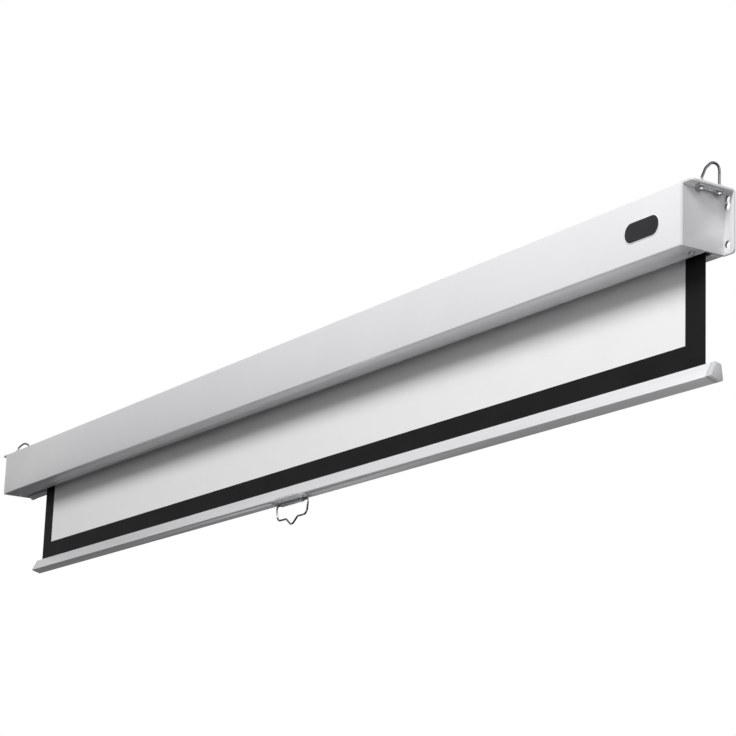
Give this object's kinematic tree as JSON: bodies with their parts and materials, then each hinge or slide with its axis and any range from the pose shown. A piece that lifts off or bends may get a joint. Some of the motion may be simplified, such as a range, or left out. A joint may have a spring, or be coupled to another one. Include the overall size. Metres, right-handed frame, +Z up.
{
  "type": "pull down projector screen",
  "caption": "Pull-down projection screen: a long white steel housing with a spring roller, a black-edged white sheet, an aluminium bottom bar and a wire pull handle.",
  "frame": {"origin": "middle of the housing's back wall, on the wall plane", "axes": "+X along the housing to the right as seen from the room, +Y out of the back into the wall, +Z up"},
  "size_m": [2.0164, 0.0685, 0.3088],
  "materials": {
    "white_steel": "satin white powder coat",
    "chrome": "bright plated wire and nuts",
    "zinc": "dull zinc plate",
    "aluminium": "light satin anodised extrusion",
    "grey_plastic": "light grey moulded caps",
    "white_nylon": "natural nylon",
    "spring_steel": "oiled spring wire",
    "white_sheet": "matt white projection cloth",
    "black_sheet": "matt black masking"
  },
  "bodies": {
    "housing": {"housing_shell": "white_steel", "end_bracket_right": "white_steel", "end_bracket_left": "white_steel", "cap_screw_right": "zinc", "cap_screw_left": "zinc", "hanger_loop_right": "chrome", "hanger_strap_right": "zinc", "hanger_nut_right_front_upper": "chrome", "hanger_nut_right_front_lower": "chrome", "hanger_nut_right_rear_upper": "chrome", "hanger_nut_right_rear_lower": "chrome", "hanger_loop_left": "chrome", "hanger_strap_left": "zinc", "hanger_nut_left_front_upper": "chrome", "hanger_nut_left_front_lower": "chrome", "hanger_nut_left_rear_upper": "chrome", "hanger_nut_left_rear_lower": "chrome", "idler_pin": "zinc", "spindle_holder": "zinc", "spindle": "zinc", "ratchet_wheel": "zinc", "spring_collar": "zinc", "torsion_spring": "spring_steel"},
    "bottom_bar": {"bottom_bar": "aluminium", "bar_cap_right": "grey_plastic", "bar_cap_left": "grey_plastic", "hem_rod": "zinc", "hem_sleeve": "black_sheet", "viewing_surface": "white_sheet", "masking_border": "black_sheet", "handle_bracket": "zinc", "bracket_screw_right": "zinc", "bracket_screw_left": "zinc"},
    "roller": {"roller_tube": "zinc", "wound_sheet": "white_sheet", "idler_plug": "white_nylon", "lock_cap": "white_nylon", "pawl_pin_upper": "zinc", "pawl_pin_lower": "zinc", "spring_plug": "white_nylon"},
    "pawl_upper": {"pawl_upper": "zinc"},
    "pawl_lower": {"pawl_lower": "zinc"},
    "handle": {"handle": "chrome"}
  },
  "joints": [
    {"name": "screen_drop", "type": "slide", "parent": "housing", "child": "bottom_bar", "axis": [0, 0, -1], "range_m": [-0.133, 0.949], "deforming": ["viewing_surface", "masking_border"]},
    {"name": "roller_spin", "type": "hinge", "parent": "housing", "child": "roller", "pos_m": [0, -0.0436, 0], "axis": [1, 0, 0], "range_deg": [-2670, 378]},
    {"name": "pawl_upper_swing", "type": "hinge", "parent": "roller", "child": "pawl_upper", "pos_m": [-0.94185, -0.05158, 0.00951], "axis": [1, 0, 0], "range_deg": [0, 16]},
    {"name": "pawl_lower_swing", "type": "hinge", "parent": "roller", "child": "pawl_lower", "pos_m": [-0.94185, -0.03562, -0.00951], "axis": [1, 0, 0], "range_deg": [0, 16]},
    {"name": "handle_swing", "type": "hinge", "parent": "bottom_bar", "child": "handle", "pos_m": [0.03675, -0.02151, -0.20229], "axis": [1, 0, 0], "range_deg": [-88, 88]}
  ],
  "couplings": [
    {"joint": "roller_spin", "follows": "screen_drop", "rad_per_m": -49}
  ]
}
